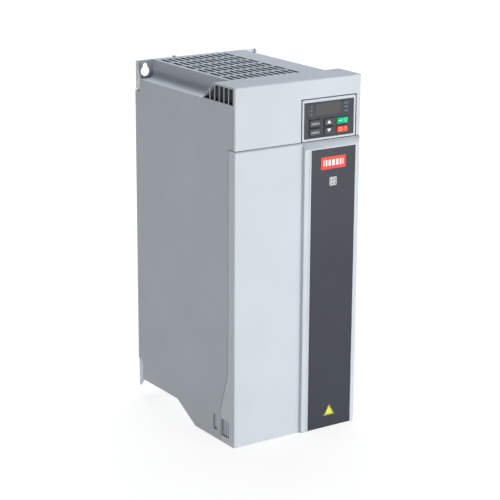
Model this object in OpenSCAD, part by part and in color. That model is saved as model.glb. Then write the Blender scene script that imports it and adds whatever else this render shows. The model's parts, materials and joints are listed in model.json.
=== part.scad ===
// Wall-mounted variable frequency drive: a moulded casing with a grilled top, a pull-out keypad,
// a hinged terminal cover, and the power and control pieces inside.
// The origin is the middle of the four wall keyholes, on the wall plane. +X is to the right seen
// from the front, the front faces -Y and +Z is up.

/* [Body] */
// Width of the casing
body_w = 172; // [168:1:178]
// Height of the casing
body_h = 420; // [419:1:424]
// Depth from the wall to the flat front
body_d = 217; // [216:1:222]
// Wall thickness of the mouldings
wall = 3; // [2.6:0.1:3.2]
// Radius of the vertical front corners
corner_r = 1.6; // [1.2:0.1:2.5]

/* [Covers] */
// Height of the joint between the two front covers
seam_z = 349; // [348:0.5:350]
// Gap between the covers, and at the top
cover_gap = 0.5; // [0.4:0.1:0.7]
// Gap behind the covers' side edges
side_gap = 0.8; // [0.5:0.1:1]
// Depth of the terminal cover's side flange
flange_d = 13; // [12:0.5:15]
// Depth of that flange at the bottom, where it holds the latch
flange_low_d = 29; // [28.6:0.2:30]
// How far the raised column stands in front of the cover
column_h = 4; // [3.5:0.5:5]

/* [Top] */
// Inset of the raised middle from each side
top_inset = 20.5; // [19:0.5:22]
// Depth of the full-width part of the top
ear_d = 43; // [42:0.5:44]
// Columns of grille slots
grille_columns = 11; // [8:1:11]
// Rows of grille slots
grille_rows = 6; // [4:1:6]

/* [Wall fixing] */
// Distance between the keyholes, side to side
keyhole_dx = 146; // [144:1:148]
// Distance between the keyholes, top to bottom
keyhole_dz = 378; // [376:1:378]
// Radius of each keyhole's entry circle
keyhole_r = 6; // [5.5:0.25:6]
// Width of each keyhole's narrow slot
keyhole_slot = 6.5; // [5.5:0.25:6.5]

/* [Keypad] */
// Width of the keypad's bezel
keypad_w = 74.4; // [74:0.1:74.8]
// Height of the keypad's bezel
keypad_h = 47.4; // [47:0.1:47.6]
// Travel of a keypad button
button_travel = 1; // [0.6:0.1:1.2]

/* [Cooling] */
// Number of heatsink fins
fin_count = 20; // [14:1:22]
// Outer size of each square fan
fan_size = 60; // [58:0.5:60]
// Blades on each fan
blade_count = 7; // [5:1:9]

/* [Hidden] */
$fn = 64;
eps = 0.01;
half_w = body_w / 2;
// Height of the keyhole pattern's middle above the casing's lowest edge
hang_z = 217;
// A cutter this long passes right through anything
far = 600;

// Casing
notch_y = body_d - 10.5;          // the side walls stop here beside the wall plate's gussets
notch_top_z = 384.5;
notch_low_z = 47;
rear_z = 21.5;                    // underside of the casing behind the terminal bay
bay_end_y = 84;                   // where the underside starts to rise
rise_end_y = 125;
flange_step_z = 86;               // the flange starts to widen here, going down
flange_wide_z = 38;
ledge_z = 399;
raised_half = half_w - top_inset;
raised_end_y = body_d - 5;
slope_foot_y = 67;                // foot of the slanted back of the two ears
louvre_y0 = 4.3;
louvre_t = 1;                     // thickness of the bars between the louvres
return_d = 3.3;                   // depth of the upper cover's side returns
return_gap = 0.2;                 // gap behind them
lip_d = 3;                        // depth of its top return
skin = 2.6;                       // front skin of the covers

// Hinge of the terminal cover
hinge_y = 3;
hinge_z = seam_z - 3;
hinge_r = 3;
pin_r = 1;
pin_hole_r = 1.05;
lug_r = 2.2;
lug_x = half_w - 5.6;
lug_w = 2.3;

// Raised column and its dark panel
column_x0 = 5.6;
column_x1 = half_w - 0.4;
panel_x0 = 15;
panel_x1 = half_w - 9;
panel_z1 = 339.5;
panel_mid_x = (panel_x0 + panel_x1) / 2;

// Latches in the cover's flanges
latch_y0 = 11;
latch_y1 = 27.6;
latch_z0 = 8.2;
latch_z1 = 28.7;

// Keypad
keypad_x0 = 4;
keypad_z0 = seam_z + 0.9;
keypad_x1 = keypad_x0 + keypad_w;
keypad_z1 = keypad_z0 + keypad_h;
bezel_y = -0.6;
bezel = 2.5;                      // width of the bezel at the sides and below
bezel_top = 3.4;
face_y = 0.2;
board_y = 7;
keypad_deep = 16;
rim_left = 1.1;                   // dark rim round the keypad: its outer edges
rim_right = 1.6;
rim_top = 0.9;
row_z = [keypad_z0 + 19.5, keypad_z0 + 9.5];
button_h = 8.8;
run_h = 7.5;
program_x = 21.7;
up_x = 40.8;
run_x = 59.9;
small_w = 15.4;
arrow_w = 13;
run_w = 15.2;
display_x = 40.6;
display_z = keypad_z0 + 34.4;
display_w = 35;
display_h = 13.5;
lamp_x = [17, 64];
lamp_z = [keypad_z0 + 38.8, keypad_z0 + 34.3, keypad_z0 + 29.8];
plug_x = 41;
plug_z = keypad_z0 + 22;

// Cooling
sink_x = half_w - 5;
sink_front_y = 128;
sink_base = 10;
sink_z0 = 30;
sink_z1 = 366;
fin_t = 2;
fan_z = 369.5;
fan_h = 25;
fan_y = body_d - 42;
fan_x = fan_size / 2 + 1;
fan_bore_r = fan_size / 2 - 1.5;

// Electronics
board_t = 1.6;
control_y = 28;
bracket_y = 34;
power_y = 96;
control_fix_x = [-66, 66];
control_fix_z = [150, 262, 328];
power_fix_x = [-70.5, 70.5];
power_fix_z = [104, 330];
earth_x = [-66, 66];
capacitor_r = 31;
capacitor_y0 = 42;
capacitor_l = 50;
capacitor_x = 35;
capacitor_z = [215, 285];
block_z0 = 62;
block_z1 = 92;
block_y0 = 84;
block_y1 = 110;
bar_y = 104;
bar_t = 2;
bar_w = 12;
out_x = [14, 36, 58];

// Cable entry
plate_z = 3;
plate_t = 2;
entry_x = [-48, 0, 48];
entry_y = 42;
entry_r = 15;
grommet_bore_r = 10;
grommet_z0 = 1;
grommet_z1 = 7;

// ---------------------------------------------------------------- shared shapes

// Moves a shape drawn from the front plane and the lowest edge into the part's frame
module placed() {
    translate([0, -body_d, -hang_z]) children();
}

// A box given by its low and high corners
module box(lo, hi) {
    translate(lo) cube(hi - lo);
}

// A flat shape drawn in Y and Z, made thick along X from x0 to x1
module along_x(x0, x1) {
    translate([x0, 0, 0]) rotate([90, 0, 90]) linear_extrude(x1 - x0) children();
}

// A flat shape drawn in X and Z, made thick along Y from y0 to y1
module along_y(y0, y1) {
    translate([0, y1, 0]) rotate([90, 0, 0]) linear_extrude(y1 - y0) children();
}

// A rectangle with round corners, by its low corner and size
module round_rect(lo, size, r) {
    translate(lo) {
        translate([r, 0]) square([size.x - 2 * r, size.y]);
        translate([0, r]) square([size.x, size.y - 2 * r]);
        for (x = [r, size.x - r], y = [r, size.y - r]) translate([x, y]) circle(r);
    }
}

// The same shape on both sides
module both_sides() {
    children();
    mirror([1, 0, 0]) children();
}

// Plan of the casing's front with its two round corners, back to depth d
module front_plan(d, inset = 0) {
    r = corner_r - inset;
    w = half_w - inset;
    translate([-w, inset + r]) square([2 * w, d - inset - r]);
    translate([-w + r, inset]) square([2 * (w - r), d - inset]);
    for (x = [-w + r, w - r]) translate([x, inset + r]) circle(r);
}

// A pan-head screw along -Y, its head's underside on the plane y
module screw_y(x, y, z, r, length) {
    translate([x, y, z]) rotate([90, 0, 0]) difference() {
        union() {
            cylinder(r = 1.9 * r, h = 1.2 * r);
            translate([0, 0, -length]) cylinder(r = r, h = length + eps);
        }
        for (a = [0, 90]) rotate([0, 0, a])
            translate([-1.2 * r, -0.25 * r, 0.6 * r]) cube([2.4 * r, 0.5 * r, 2 * r]);
    }
}

// ---------------------------------------------------------------- casing

// Side of the casing as a flat outline, front to the left
module side_outline() {
    g = side_gap;
    y0 = return_d + return_gap;
    polygon([
        [y0, seam_z + g], [y0, body_h], [ear_d, body_h],
        [slope_foot_y, ledge_z], [notch_y, ledge_z], [notch_y, notch_top_z],
        [body_d, notch_top_z], [body_d, notch_low_z], [notch_y, notch_low_z], [notch_y, rear_z],
        [rise_end_y, rear_z], [bay_end_y, 0], [flange_low_d + g, 0],
        [flange_low_d + g, flange_wide_z], [flange_d + g, flange_step_z], [flange_d + g, seam_z + g]
    ]);
}

// Outline of the louvred part of an ear, under its sloping back
module louvre_field() {
    top_z = body_h - 2.2;
    low_z = ledge_z + 0.8;
    polygon([
        [louvre_y0, low_z], [slope_foot_y - 1.9, low_z], [ear_d + 1.8, top_z], [louvre_y0, top_z]
    ]);
}

// Upright openings between thin bars
module louvre_openings() {
    bar = 1.4;
    pitch = 9.5;
    intersection() {
        for (i = [0 : 5]) translate([louvre_y0 + i * pitch, ledge_z])
            square([i < 5 ? pitch - bar : 3 * pitch, 40]);
        louvre_field();
    }
}

module grille_slots() {
    slot_w = 5.6;
    slot_l = 22.5;
    pitch_x = 8.8;
    pitch_y = 27;
    first_x = -60.4;
    first_y = 46;
    for (i = [0 : grille_columns - 1], j = [0 : grille_rows - 1])
        translate([first_x + i * pitch_x, first_y + j * pitch_y, body_h - 2 * wall])
            cube([slot_w, slot_l, 4 * wall]);
}

module main_housing() {
    fillet = 9;
    fillet_y0 = slope_foot_y - fillet;
    lug_arm = 1.4;
    slot_y0 = 36.2;
    color([0.66, 0.68, 0.71]) placed() difference() {
        union() {
            both_sides() {
                // side wall
                along_x(half_w - wall, half_w) side_outline();
                // ledge beside the raised middle, with a fillet at its foot
                box([raised_half - wall, ear_d, ledge_z - wall], [half_w, notch_y, ledge_z]);
                difference() {
                    box([raised_half, fillet_y0, ledge_z - 1],
                        [raised_half + fillet, notch_y, ledge_z + fillet]);
                    translate([raised_half + fillet, fillet_y0 - 1, ledge_z + fillet])
                        rotate([-90, 0, 0]) cylinder(r = fillet, h = body_d);
                }
                // recess wall under the edge of the raised middle
                box([raised_half - wall, ear_d, ledge_z - wall], [raised_half, raised_end_y - 3, body_h]);
                // the same wall carried forward inside the ear, above the keypad's pocket
                box([raised_half - wall, 5.6, ledge_z - 0.5],
                    [raised_half, ear_d + eps, body_h - wall + eps]);
                // slanted back of the ear
                along_x(raised_half - wall, half_w) polygon([
                    [slope_foot_y, ledge_z], [slope_foot_y - wall, ledge_z - wall],
                    [ear_d - wall, body_h - wall], [ear_d - wall, body_h], [ear_d, body_h]
                ]);
                // hinge lug for the terminal cover
                difference() {
                    union() {
                        along_x(lug_x, lug_x + lug_w) {
                            translate([hinge_y, hinge_z]) circle(lug_r);
                            translate([hinge_y, hinge_z - lug_arm]) square([22, 2 * lug_arm]);
                        }
                        box([lug_x, flange_d + 2, hinge_z - 12],
                            [half_w - wall + eps, 30, hinge_z + lug_arm]);
                    }
                    translate([0, hinge_y, hinge_z]) rotate([0, 90, 0])
                        cylinder(r = pin_hole_r, h = far, center = true);
                }
            }
            // full-width top in front, raised middle behind
            box([-half_w, lip_d + cover_gap, body_h - wall], [half_w, ear_d, body_h]);
            translate([0, 0, body_h - wall]) linear_extrude(wall)
                round_rect([-raised_half, ear_d - 10], [2 * raised_half, raised_end_y - ear_d + 10], 3);
            // back of the raised middle
            translate([0, 0, ledge_z - wall]) linear_extrude(body_h - ledge_z + wall) difference() {
                round_rect([-raised_half, ear_d], [2 * raised_half, raised_end_y - ear_d], 3);
                translate([-raised_half + wall, 0]) square([2 * (raised_half - wall), raised_end_y - wall]);
                translate([-half_w, 0]) square([body_w, raised_end_y - 3]);
            }
            // underside: the rise behind the terminal bay, then flat to the wall plate
            along_x(-half_w + wall - eps, half_w - wall + eps) polygon([
                [bay_end_y, 0], [rise_end_y, rear_z], [notch_y, rear_z], [notch_y, rear_z + wall],
                [rise_end_y - 1, rear_z + wall], [bay_end_y, wall]
            ]);
        }
        both_sides() {
            along_x(half_w - 2 * wall, half_w + 1) louvre_openings();
            along_x(half_w - 2 * wall, half_w - louvre_t) louvre_field();
            // narrow slot beside the latch, with a tongue lying in it
            difference() {
                box([half_w - wall - eps, slot_y0, 11], [half_w + 1, slot_y0 + 8, 29.7]);
                box([half_w - 2 * wall, slot_y0 - 1, 11.7], [half_w - 1.4, slot_y0 + 6.9, 29]);
            }
            // room for the screws of the lower keyholes
            box([half_w - 21, notch_y - 34, rear_z - 1], [half_w - wall, body_d, rear_z + 4]);
        }
        grille_slots();
        // air inlet under the heatsink
        for (i = [0 : 9], y = [134, 155])
            translate([-58.5 + i * 12, y, rear_z - 1]) cube([7, 17, wall + 2]);
        // trim the underside to the outline of the sides
        along_x(-far, far) polygon([[-1, -9], [bay_end_y, -9], [bay_end_y, 0], [-1, 0]]);
    }
}

module upper_front_cover() {
    low_z = seam_z + cover_gap;
    edge_r = 1.4;
    color([0.81, 0.84, 0.88]) placed() difference() {
        intersection() {
            translate([0, 0, low_z]) linear_extrude(body_h - low_z) front_plan(return_d + 1);
            along_x(-half_w, half_w) intersection() {
                square([return_d, body_h]);
                union() {
                    translate([edge_r, 0]) square([return_d, body_h]);
                    square([return_d, body_h - edge_r]);
                    translate([edge_r, body_h - edge_r]) circle(edge_r);
                }
            }
        }
        // inside: open behind, with returns at the sides and the top
        box([-half_w + wall, skin, low_z - 1], [half_w - wall, body_d, body_h - skin]);
        box([-half_w - 1, lip_d, body_h - wall - cover_gap], [half_w + 1, body_d, body_h + 1]);
        // opening for the keypad, down to the joint
        box([keypad_x0 - rim_left - eps, -1, low_z - 1],
            [keypad_x1 + rim_right + eps, return_d + 1, keypad_z1 + rim_top + eps]);
    }
}

module wall_plate() {
    t = 2;
    plate_x = half_w - wall - 0.5;
    gusset_x = half_w - 1;
    z0 = 11;
    mid_z0 = 18.8;
    z1 = body_h - 0.5;
    color([0.78, 0.82, 0.85]) placed() difference() {
        union() {
            box([-plate_x, body_d - t, mid_z0], [plate_x, body_d, z1]);
            both_sides() {
                for (z = [[z0, notch_low_z - 1], [notch_top_z + 1.3, z1]])
                    box([plate_x - 0.5, body_d - t, z[0]], [gusset_x, body_d, z[1]]);
                // bent side flanges that show in the casing's notches
                along_x(gusset_x - t, gusset_x) {
                    polygon([
                        [body_d, z1], [body_d - 3.5, z1], [body_d - 10, ledge_z],
                        [body_d - 10, notch_top_z + 1.3], [body_d, notch_top_z + 1.3]
                    ]);
                    polygon([
                        [body_d, notch_low_z - 1], [body_d - 10, notch_low_z - 1],
                        [body_d - 10, rear_z - 1], [body_d - 2.5, z0], [body_d, z0]
                    ]);
                }
            }
            // small hook tab on the top edge
            box([-34, body_d - t, z1 - eps], [-30.4, body_d, z1 + 1.6]);
        }
        // two shallow stiffening beads up the back
        for (x = [-38, 38]) along_y(body_d - 0.9, body_d + 1) round_rect([x - 6, 50], [12, 320], 5.9);
        for (x = [-1, 1], z = [-1, 1])
            translate([x * keyhole_dx / 2, 0, hang_z + z * keyhole_dz / 2]) {
                translate([0, body_d - 5, 0]) rotate([-90, 0, 0]) cylinder(r = keyhole_r, h = 10);
                translate([0, body_d - 5, 6.5]) rotate([-90, 0, 0]) cylinder(r = keyhole_slot / 2, h = 10);
                box([-keyhole_slot / 2, body_d - 5, 0], [keyhole_slot / 2, body_d + 5, 6.5]);
            }
    }
}

// ---------------------------------------------------------------- cooling

module heatsink() {
    fin_y1 = body_d - 2.6;
    pitch = (2 * sink_x - fin_t) / (fin_count - 1);
    color([0.72, 0.73, 0.75]) placed() difference() {
        translate([0, 0, sink_z0]) linear_extrude(sink_z1 - sink_z0) union() {
            translate([-sink_x, sink_front_y]) square([2 * sink_x, sink_base]);
            for (i = [0 : fin_count - 1])
                translate([-sink_x + i * pitch, sink_front_y]) square([fin_t, fin_y1 - sink_front_y]);
        }
        // room for the bent flanges and screws at the lower keyholes
        both_sides() box([half_w - 21, notch_y - 36, 0], [half_w, body_d, notch_low_z]);
    }
}

module fan_tray() {
    z0 = sink_z1 + 0.5;
    color([0.76, 0.79, 0.82]) placed() difference() {
        union() {
            box([-half_w + wall + 0.5, sink_front_y, z0], [half_w - wall - 0.5, body_d - 11, fan_z]);
            box([-half_w + wall + 0.5, sink_front_y, z0],
                [half_w - wall - 0.5, sink_front_y + 1.5, fan_z + 12]);
        }
        for (x = [-fan_x, fan_x])
            translate([x, fan_y, z0 - 1]) cylinder(r = fan_bore_r, h = 10);
        box([-far, sink_front_y + 1.5, z0 - 1], [far, body_d, fan_z - 1.5]);
    }
}

// Square fan frame with its motor base and four struts, on the axis x
module fan_frame(x) {
    strut = 3;
    color([0.16, 0.16, 0.17]) placed() translate([x, fan_y, fan_z]) {
        difference() {
            linear_extrude(fan_h) round_rect([-fan_size / 2, -fan_size / 2], [fan_size, fan_size], 4);
            translate([0, 0, -1]) cylinder(r = fan_bore_r, h = fan_h + 2);
            for (a = [-1, 1], b = [-1, 1])
                translate([a * (fan_size / 2 - 5), b * (fan_size / 2 - 5), -1])
                    cylinder(r = 2.1, h = fan_h + 2);
        }
        difference() {
            union() {
                cylinder(r = 15, h = strut);
                for (a = [0, 90]) rotate([0, 0, a])
                    box([-fan_bore_r - 0.5, -strut / 2, 0], [fan_bore_r + 0.5, strut / 2, strut]);
                cylinder(r = 3.5, h = 12);
            }
            translate([0, 0, strut]) cylinder(r = 1.55, h = 20);
        }
    }
}

// Fan rotor: cupped hub, shaft and tilted blades
module fan_rotor(x) {
    hub_r = 15.5;
    tip_r = fan_bore_r - 0.6;
    z0 = 3.6;
    z1 = fan_h - 1.5;
    tilt = 38;
    color([0.12, 0.12, 0.13]) placed() translate([x, fan_y, fan_z]) {
        difference() {
            translate([0, 0, z0]) cylinder(r = hub_r, h = z1 - z0);
            translate([0, 0, z0 - 1]) cylinder(r = hub_r - 1.6, h = z1 - z0 - 0.6);
        }
        translate([0, 0, 4.5]) cylinder(r = 1.5, h = z1 - 5.5);
        intersection() {
            translate([0, 0, z0]) difference() {
                cylinder(r = tip_r, h = z1 - z0);
                translate([0, 0, -1]) cylinder(r = hub_r - 0.8, h = z1);
            }
            for (i = [0 : blade_count - 1]) rotate([0, 0, i * 360 / blade_count])
                translate([0, 0, (z0 + z1) / 2]) rotate([tilt, 0, 0])
                    translate([hub_r - 1, -0.7, -20]) cube([30, 1.4, 40]);
        }
    }
}

module fan_frame_left() {
    fan_frame(-fan_x);
}

module fan_frame_right() {
    fan_frame(fan_x);
}

module fan_rotor_left() {
    fan_rotor(-fan_x);
}

module fan_rotor_right() {
    fan_rotor(fan_x);
}

// ---------------------------------------------------------------- electronics

module control_bracket() {
    x = half_w - wall - 0.5;
    color([0.75, 0.78, 0.8]) placed() difference() {
        union() {
            box([-x, bracket_y, 104], [x, bracket_y + 1.2, 342]);
            both_sides() box([x - 1.2, bracket_y, 104], [x, bracket_y + 26, 342]);
        }
        for (x = [-45, 0, 45], z = [140, 300]) translate([x, 0, z])
            along_y(0, far) round_rect([-12, -6], [24, 12], 5);
    }
}

// A component on the front of a board: its middle in x and z, width, height and depth
module board_part(c, y) {
    box([c[0] - c[2] / 2, y - c[4], c[1] - c[3] / 2], [c[0] + c[2] / 2, y + eps, c[1] + c[3] / 2]);
}

module control_board() {
    color([0.07, 0.33, 0.2]) placed() {
        along_y(control_y, control_y + board_t) difference() {
            round_rect([-72, 108], [144, 226], 2);
            for (x = control_fix_x, z = control_fix_z) translate([x, z]) circle(1.7);
        }
        // main processor, driver chips and two row connectors on the front
        for (c = [
            [-20, 230, 24, 24, 2], [30, 240, 14, 10, 2], [30, 215, 14, 10, 2], [-50, 290, 10, 26, 6],
            [50, 280, 10, 26, 6], [43, 318, 18, 8, 7], [-52, 180, 18, 14, 9], [40, 170, 22, 12, 5]
        ])
            board_part(c, control_y);
    }
}

module control_terminals() {
    count = 20;
    pitch = 6;
    x0 = -count * pitch / 2;
    color([0.1, 0.45, 0.25]) placed() for (row = [0, 1]) translate([0, 0, 114 + 17 * row]) difference() {
        box([x0, control_y - 12, 0], [-x0, control_y, 11]);
        for (i = [0 : count - 1]) {
            translate([x0 + (i + 0.5) * pitch, 0, 7.5]) rotate([-90, 0, 0])
                cylinder(r = 1.9, h = control_y - 6);
            box([x0 + i * pitch + 1.4, control_y - 13, 1.2],
                [x0 + (i + 1) * pitch - 1.4, control_y - 5, 4.4]);
        }
    }
}

module power_board() {
    color([0.08, 0.3, 0.18]) placed() {
        along_y(power_y, power_y + board_t) difference() {
            round_rect([-75, 96], [150, 270], 3);
            for (x = power_fix_x, z = power_fix_z) translate([x, z]) circle(2.2);
        }
        // snubber blocks, gate drivers and a small transformer
        for (c = [
            [-54, 126, 26, 20, 14], [-14, 126, 22, 20, 14], [26, 128, 22, 22, 16],
            [-50, 350, 34, 24, 22], [-8, 352, 20, 14, 10], [0, 176, 90, 6, 4]
        ])
            board_part(c, power_y);
    }
}

// Power module: a base plate, a case with stepped edges and a row of contact pads on the front
module power_module(x0, x1, z0, z1, y0, pads) {
    step = 4;
    placed() {
        color([0.7, 0.7, 0.7]) box([x0, sink_front_y - 3, z0], [x1, sink_front_y, z1]);
        color([0.15, 0.15, 0.16]) difference() {
            box([x0, y0, z0], [x1, sink_front_y - 3 + eps, z1]);
            box([x0 - 1, y0 - 1, z0 - 1], [x1 + 1, y0 + step, z0 + 7]);
            box([x0 - 1, y0 - 1, z1 - 7], [x1 + 1, y0 + step, z1 + 1]);
        }
        color([0.8, 0.7, 0.4]) for (i = [0 : pads - 1])
            translate([x0 + (i + 0.5) * (x1 - x0) / pads, y0 + step - 1, z0 + 3.5]) rotate([-90, 0, 0])
                cylinder(r = 2.5, h = 2);
    }
}

module rectifier_module() {
    power_module(-76, -4, 130, 166, 104, 5);
}

module igbt_module() {
    power_module(-61, 61, 214, 276, 110, 6);
}

// Electrolytic capacitor lying front to back: can, crimp groove, vent boss and two studs
module capacitor(i, k) {
    r = capacitor_r - 1;
    color([0.1, 0.12, 0.2]) placed()
        translate([i * capacitor_x, capacitor_y0, capacitor_z[k]]) rotate([-90, 0, 0]) {
            difference() {
                cylinder(r = r, h = capacitor_l - 2);
                translate([0, 0, -eps]) cylinder(r = 8, h = 0.8);
                translate([0, 0, capacitor_l - 8]) difference() {
                    cylinder(r = r + 1, h = 2.5);
                    translate([0, 0, -1]) cylinder(r = r - 1.2, h = 5);
                }
            }
            for (x = [-14, 14]) translate([x, 0, 0]) cylinder(r = 5, h = capacitor_l);
        }
}

module capacitor_1() {
    capacitor(-1, 0);
}

module capacitor_2() {
    capacitor(1, 0);
}

module capacitor_3() {
    capacitor(-1, 1);
}

module capacitor_4() {
    capacitor(1, 1);
}

module capacitor_holder() {
    color([0.2, 0.2, 0.21]) placed() difference() {
        along_y(62, 67) round_rect([-76, 179], [152, 142], 6);
        for (x = [-capacitor_x, capacitor_x], z = capacitor_z)
            translate([x, 0, z]) rotate([-90, 0, 0]) cylinder(r = capacitor_r - 0.9, h = far);
    }
}

// DC link bar joining a stud of the lower and the upper capacitor
module link_bar(x) {
    y0 = capacitor_y0 + capacitor_l;
    color([0.8, 0.5, 0.3]) placed() along_y(y0, y0 + bar_t)
        round_rect([x - 7, capacitor_z[0] - 9], [14, capacitor_z[1] - capacitor_z[0] + 18], 3);
}

module busbar_plus() {
    link_bar(-capacitor_x - 14);
}

module busbar_minus() {
    link_bar(capacitor_x + 14);
}

// Output bar from the power module down to the terminal block, bent back at its top
module output_bar(x) {
    color([0.8, 0.5, 0.3]) placed() {
        box([x - bar_w / 2, bar_y, block_z1], [x + bar_w / 2, bar_y + bar_t, 218]);
        box([x - bar_w / 2, bar_y, 216], [x + bar_w / 2, 113, 218]);
    }
}

module busbar_u() {
    output_bar(out_x[0]);
}

module busbar_v() {
    output_bar(out_x[1]);
}

module busbar_w() {
    output_bar(out_x[2]);
}

// Hall sensor: a block with a window around one output bar
module current_sensor(x) {
    color([0.1, 0.1, 0.45]) placed() difference() {
        along_x(x - 10.5, x + 10.5) round_rect([99.5, 180], [11, 14], 1.5);
        box([x - bar_w / 2 - 0.5, bar_y - 0.5, 170], [x + bar_w / 2 + 0.5, bar_y + bar_t + 0.5, 200]);
    }
}

module current_sensor_u() {
    current_sensor(out_x[0]);
}

module current_sensor_w() {
    current_sensor(out_x[2]);
}

module charge_relay() {
    color([0.12, 0.12, 0.13]) placed() {
        along_y(power_y - 22, power_y) round_rect([30, 336], [30, 24], 2);
        for (z = [342, 354]) box([34, power_y - 24, z - 2], [44, power_y - 21, z + 2]);
    }
}

module terminal_bracket() {
    color([0.76, 0.79, 0.82]) placed() difference() {
        union() {
            box([-76, block_y0, block_z0 - 2], [76, sink_front_y, block_z0]);
            box([-76, sink_front_y - 2, block_z0 - 2], [76, sink_front_y, block_z0 + 16]);
        }
        for (x = earth_x)
            translate([x, sink_front_y - 3, block_z0 + 8]) rotate([-90, 0, 0]) cylinder(r = 2.6, h = 10);
    }
}

module power_terminal_block() {
    count = 9;
    pitch = 16.6;
    x0 = -count * pitch / 2;
    color([0.13, 0.13, 0.14]) placed() difference() {
        box([x0, block_y0, block_z0], [-x0, block_y1, block_z1]);
        // one bay for each ring terminal, open to the front and down, with a screw hole behind
        for (i = [0 : count - 1]) translate([x0 + (i + 0.5) * pitch, 0, 0]) {
            box([-6.8, block_y0 - 1, block_z0 + 3], [6.8, block_y0 + 12, block_z1 - 6]);
            translate([0, block_y0 + 11, block_z0 + 14]) rotate([-90, 0, 0]) cylinder(r = 2.6, h = 10);
        }
    }
}

module terminal_screws() {
    pitch = 16.6;
    color([0.8, 0.8, 0.78]) placed() for (i = [-4 : 4])
        screw_y(i * pitch, block_y0 + 12, block_z0 + 14, 2.5, 8);
}

module earth_screws() {
    color([0.8, 0.8, 0.78]) placed() for (x = earth_x)
        screw_y(x, sink_front_y - 2, block_z0 + 8, 2.5, 1.8);
}

module board_screws() {
    color([0.8, 0.8, 0.78]) placed() {
        for (x = control_fix_x, z = control_fix_z) screw_y(x, control_y, z, 1.5, 5.5);
        for (x = power_fix_x, z = power_fix_z) screw_y(x, power_y, z, 2, 8);
    }
}

// Round spacer of radius r and a given length along Y, tapped to a given depth
module standoff(place, r, tap_r, length, depth) {
    translate(place) rotate([-90, 0, 0]) difference() {
        cylinder(r = r, h = length);
        translate([0, 0, -1]) cylinder(r = tap_r, h = depth);
    }
}

module board_standoffs() {
    color([0.82, 0.78, 0.55]) placed() {
        for (x = control_fix_x, z = control_fix_z)
            standoff([x, control_y + board_t, z], 3, 1.5, bracket_y - control_y - board_t, 20);
        for (x = power_fix_x, z = power_fix_z)
            standoff([x, power_y + board_t, z], 4, 2, sink_front_y - power_y - board_t, 14);
    }
}

// ---------------------------------------------------------------- cable entry

module cable_entry_plate() {
    color([0.76, 0.79, 0.82]) placed() difference() {
        union() {
            box([-half_w + wall + 0.3, 4.5, plate_z],
                [half_w - wall - 0.3, bay_end_y - 0.5, plate_z + plate_t]);
            // low upright rear edge
            box([-70, bay_end_y - 2, plate_z], [70, bay_end_y - 0.5, plate_z + 5]);
        }
        for (x = entry_x) translate([x, entry_y, 0]) cylinder(r = entry_r + 0.15, h = 10);
        // clear of the latches and the catches
        both_sides() box([half_w - 9, 0, 0], [half_w, 46, 20]);
    }
}

// Rubber grommet: two lips over the plate's edge and a plain bore
module grommet(x) {
    lip = 3;
    color([0.1, 0.1, 0.1]) placed() translate([x, entry_y, 0]) rotate_extrude() {
        translate([grommet_bore_r, grommet_z0]) square([entry_r - grommet_bore_r, grommet_z1 - grommet_z0]);
        for (z = [grommet_z0, plate_z + plate_t])
            translate([grommet_bore_r, z]) square([entry_r + lip - grommet_bore_r, 2]);
    }
}

module grommet_left() {
    grommet(entry_x[0]);
}

module grommet_middle() {
    grommet(entry_x[1]);
}

module grommet_right() {
    grommet(entry_x[2]);
}

// ---------------------------------------------------------------- keypad pocket

module keypad_cradle() {
    t = 1.4;
    x0 = keypad_x0 + 1.2;
    x1 = keypad_x1 - 1.2;
    z0 = keypad_z0 + 1;
    z1 = keypad_z1 - 1;
    back_y = keypad_deep + 3;
    flange_y = 3.4;
    rim_y = 0.2;
    rim_t = 0.5;
    color([0.6, 0.62, 0.65]) placed() difference() {
        union() {
            box([x0 - 2.6, flange_y, z0 - 0.4], [keypad_x1 + rim_right + 0.4, flange_y + t, z1 + 6]);
            // thin rim that lines the cover's opening
            difference() {
                box([keypad_x0 - rim_left, rim_y, seam_z + cover_gap + eps],
                    [keypad_x1 + rim_right, flange_y + eps, keypad_z1 + rim_top]);
                box([keypad_x0 - rim_left + rim_t, rim_y - 1, 0],
                    [keypad_x1 + rim_right - rim_t, flange_y + 1, keypad_z1 + rim_top - rim_t + 0.1]);
            }
            box([x0 - t, flange_y, z0 - t + 0.8], [x1 + t - 0.6, back_y + t, z1 + t]);
        }
        box([x0, flange_y - 1, z0 + 0.4], [x1 - 0.6, back_y, z1]);
        box([plug_x - 6, 0, plug_z - 5], [plug_x + 6, back_y + 5, plug_z + 5]);
    }
}

module keypad_socket() {
    y0 = keypad_deep + 3 + 1.4;
    color([0.12, 0.12, 0.13]) placed() difference() {
        box([plug_x - 8, y0, plug_z - 7], [plug_x + 8, y0 + 13, plug_z + 7]);
        box([plug_x - 5.5, y0 - 1, plug_z - 4.5], [plug_x + 5.5, y0 + 8, plug_z + 4.5]);
    }
}

// Flat cable from the keypad socket down to the control board
module ribbon_cable() {
    t = 1;
    y0 = keypad_deep + 3 + 1.4 + 13;
    z0 = 322;
    half = 5.5;
    color([0.6, 0.62, 0.65]) placed() along_x(plug_x - half, plug_x + half)
        polygon([
            [y0 - 6, plug_z - 7], [y0 - 6, plug_z - 17], [control_y - 3.5, z0 + 10],
            [control_y - 3.5, z0], [control_y - 3.5 - t, z0], [control_y - 3.5 - t, z0 + 10.4],
            [y0 - 6 - t, plug_z - 16.6], [y0 - 6 - t, plug_z - 7]
        ]);
}

// ---------------------------------------------------------------- terminal cover

// Side of the terminal cover as a flat outline
module flange_outline() {
    polygon([
        [hinge_y, 0], [flange_low_d, 0], [flange_low_d, flange_wide_z], [flange_d, flange_step_z],
        [flange_d, seam_z], [hinge_y, seam_z]
    ]);
    square([hinge_y + 1, hinge_z]);
    translate([hinge_y, hinge_z]) circle(hinge_r);
}

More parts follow.
